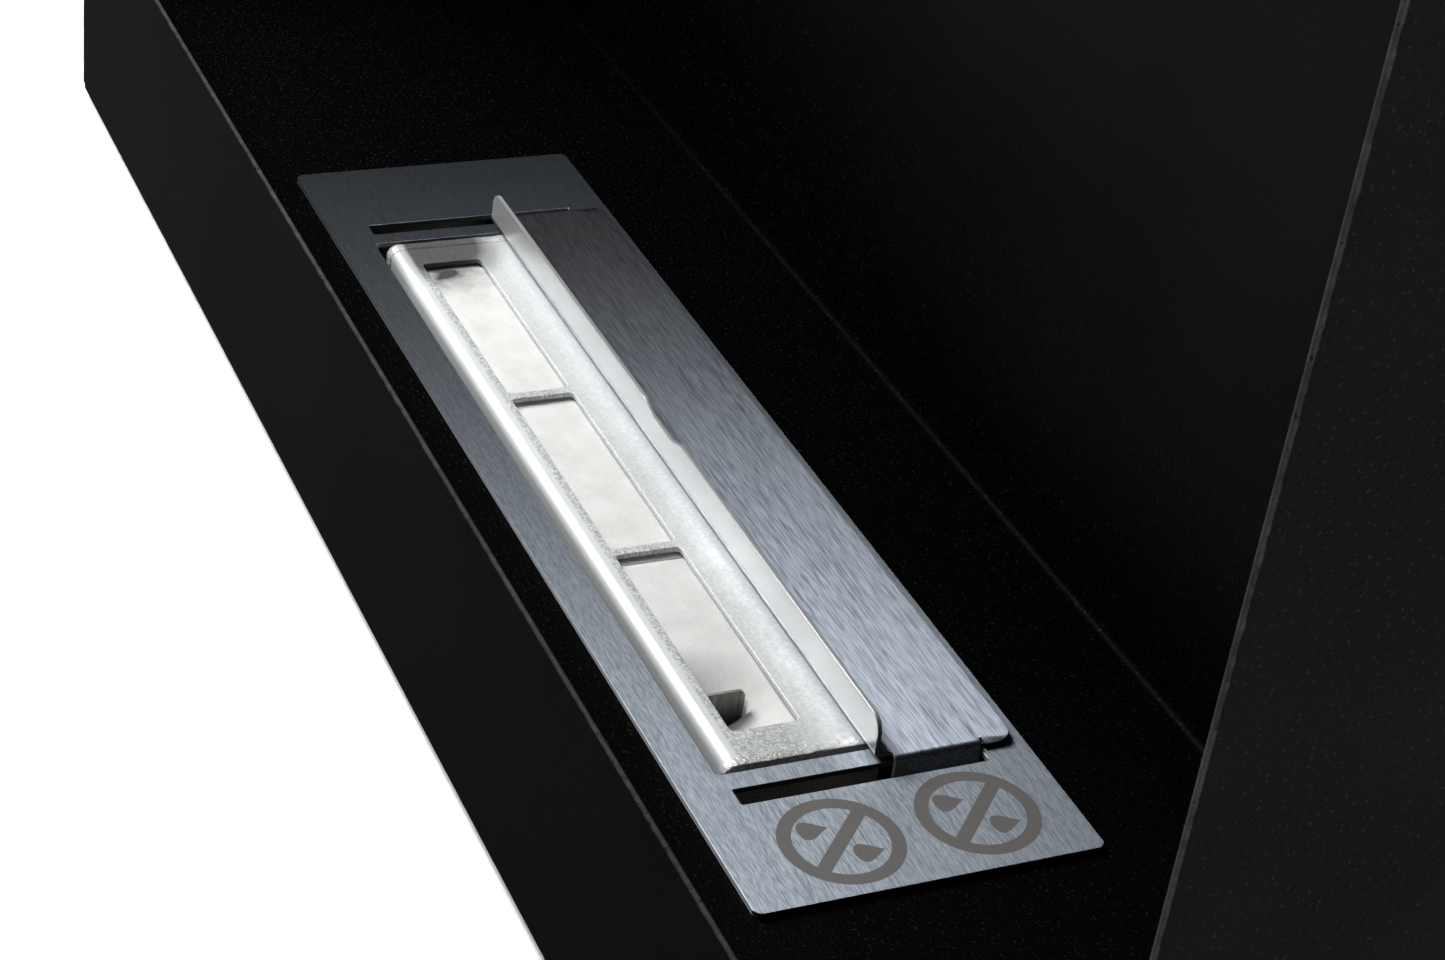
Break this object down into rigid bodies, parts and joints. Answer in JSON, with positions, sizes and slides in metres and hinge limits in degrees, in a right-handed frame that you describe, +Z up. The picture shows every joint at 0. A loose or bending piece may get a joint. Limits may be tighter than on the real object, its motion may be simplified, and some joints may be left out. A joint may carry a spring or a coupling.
{
  "type": "bio-ethanol fireplace",
  "caption": "Open-fronted black steel fireplace box with a lift-out stainless ethanol burner whose flame windows are closed by a sliding shutter.",
  "frame": {"origin": "middle of the case's footprint, on the surface that it stands on", "axes": "+X to the right for someone facing the opening, -Y out of the opening, +Z up"},
  "size_m": [0.9, 0.24, 0.5],
  "materials": {
    "black_powder_coat": "fine textured matt black powder coat",
    "brushed_stainless": "long-grain brushed, satin",
    "bright_stainless": "bright ground, with weld beads at the ends",
    "shutter_stainless": "long-grain brushed top, polished front lip",
    "dull_stainless": "dull mill finish",
    "ceramic_wool": "off-white matted ceramic fibre",
    "zinc_plate": "zinc plated",
    "rubber_pad": "matt black"
  },
  "bodies": {
    "case": {"left_side_panel": "black_powder_coat", "right_side_panel": "black_powder_coat", "top_panel": "black_powder_coat", "front_panel": "black_powder_coat", "base_panel": "black_powder_coat", "hearth_liner": "black_powder_coat", "rear_panel": "black_powder_coat", "rear_screw_left_1": "zinc_plate", "rear_screw_left_2": "zinc_plate", "rear_screw_left_3": "zinc_plate", "rear_screw_right_1": "zinc_plate", "rear_screw_right_2": "zinc_plate", "rear_screw_right_3": "zinc_plate", "base_screw_left_1": "zinc_plate", "base_screw_left_2": "zinc_plate", "base_screw_right_1": "zinc_plate", "base_screw_right_2": "zinc_plate", "foot_pad_front_left": "rubber_pad", "foot_pad_front_right": "rubber_pad", "foot_pad_back_left": "rubber_pad", "foot_pad_back_right": "rubber_pad"},
    "burner_insert": {"cover_plate": "brushed_stainless", "tank_shell": "bright_stainless", "tank_end_left": "bright_stainless", "tank_end_right": "bright_stainless", "tank_bottom": "bright_stainless", "wool_block_left": "ceramic_wool", "wool_block_middle": "ceramic_wool", "wool_block_right": "ceramic_wool", "level_gauge": "dull_stainless", "tank_bracket_left": "dull_stainless", "tank_bracket_right": "dull_stainless", "stud_nut_left_1": "zinc_plate", "stud_nut_left_2": "zinc_plate", "stud_nut_right_1": "zinc_plate", "stud_nut_right_2": "zinc_plate"},
    "shutter": {"shutter_plate": "shutter_stainless", "shutter_keeper_left": "dull_stainless", "shutter_keeper_right": "dull_stainless", "keeper_rivet_left": "zinc_plate", "keeper_rivet_right": "zinc_plate"}
  },
  "joints": [
    {"name": "insert_lift", "type": "slide", "parent": "case", "child": "burner_insert", "axis": [0, 0, 1], "range_m": [0, 0.12]},
    {"name": "shutter_slide", "type": "slide", "parent": "burner_insert", "child": "shutter", "axis": [0, -1, 0], "range_m": [0, 0.0516]}
  ]
}
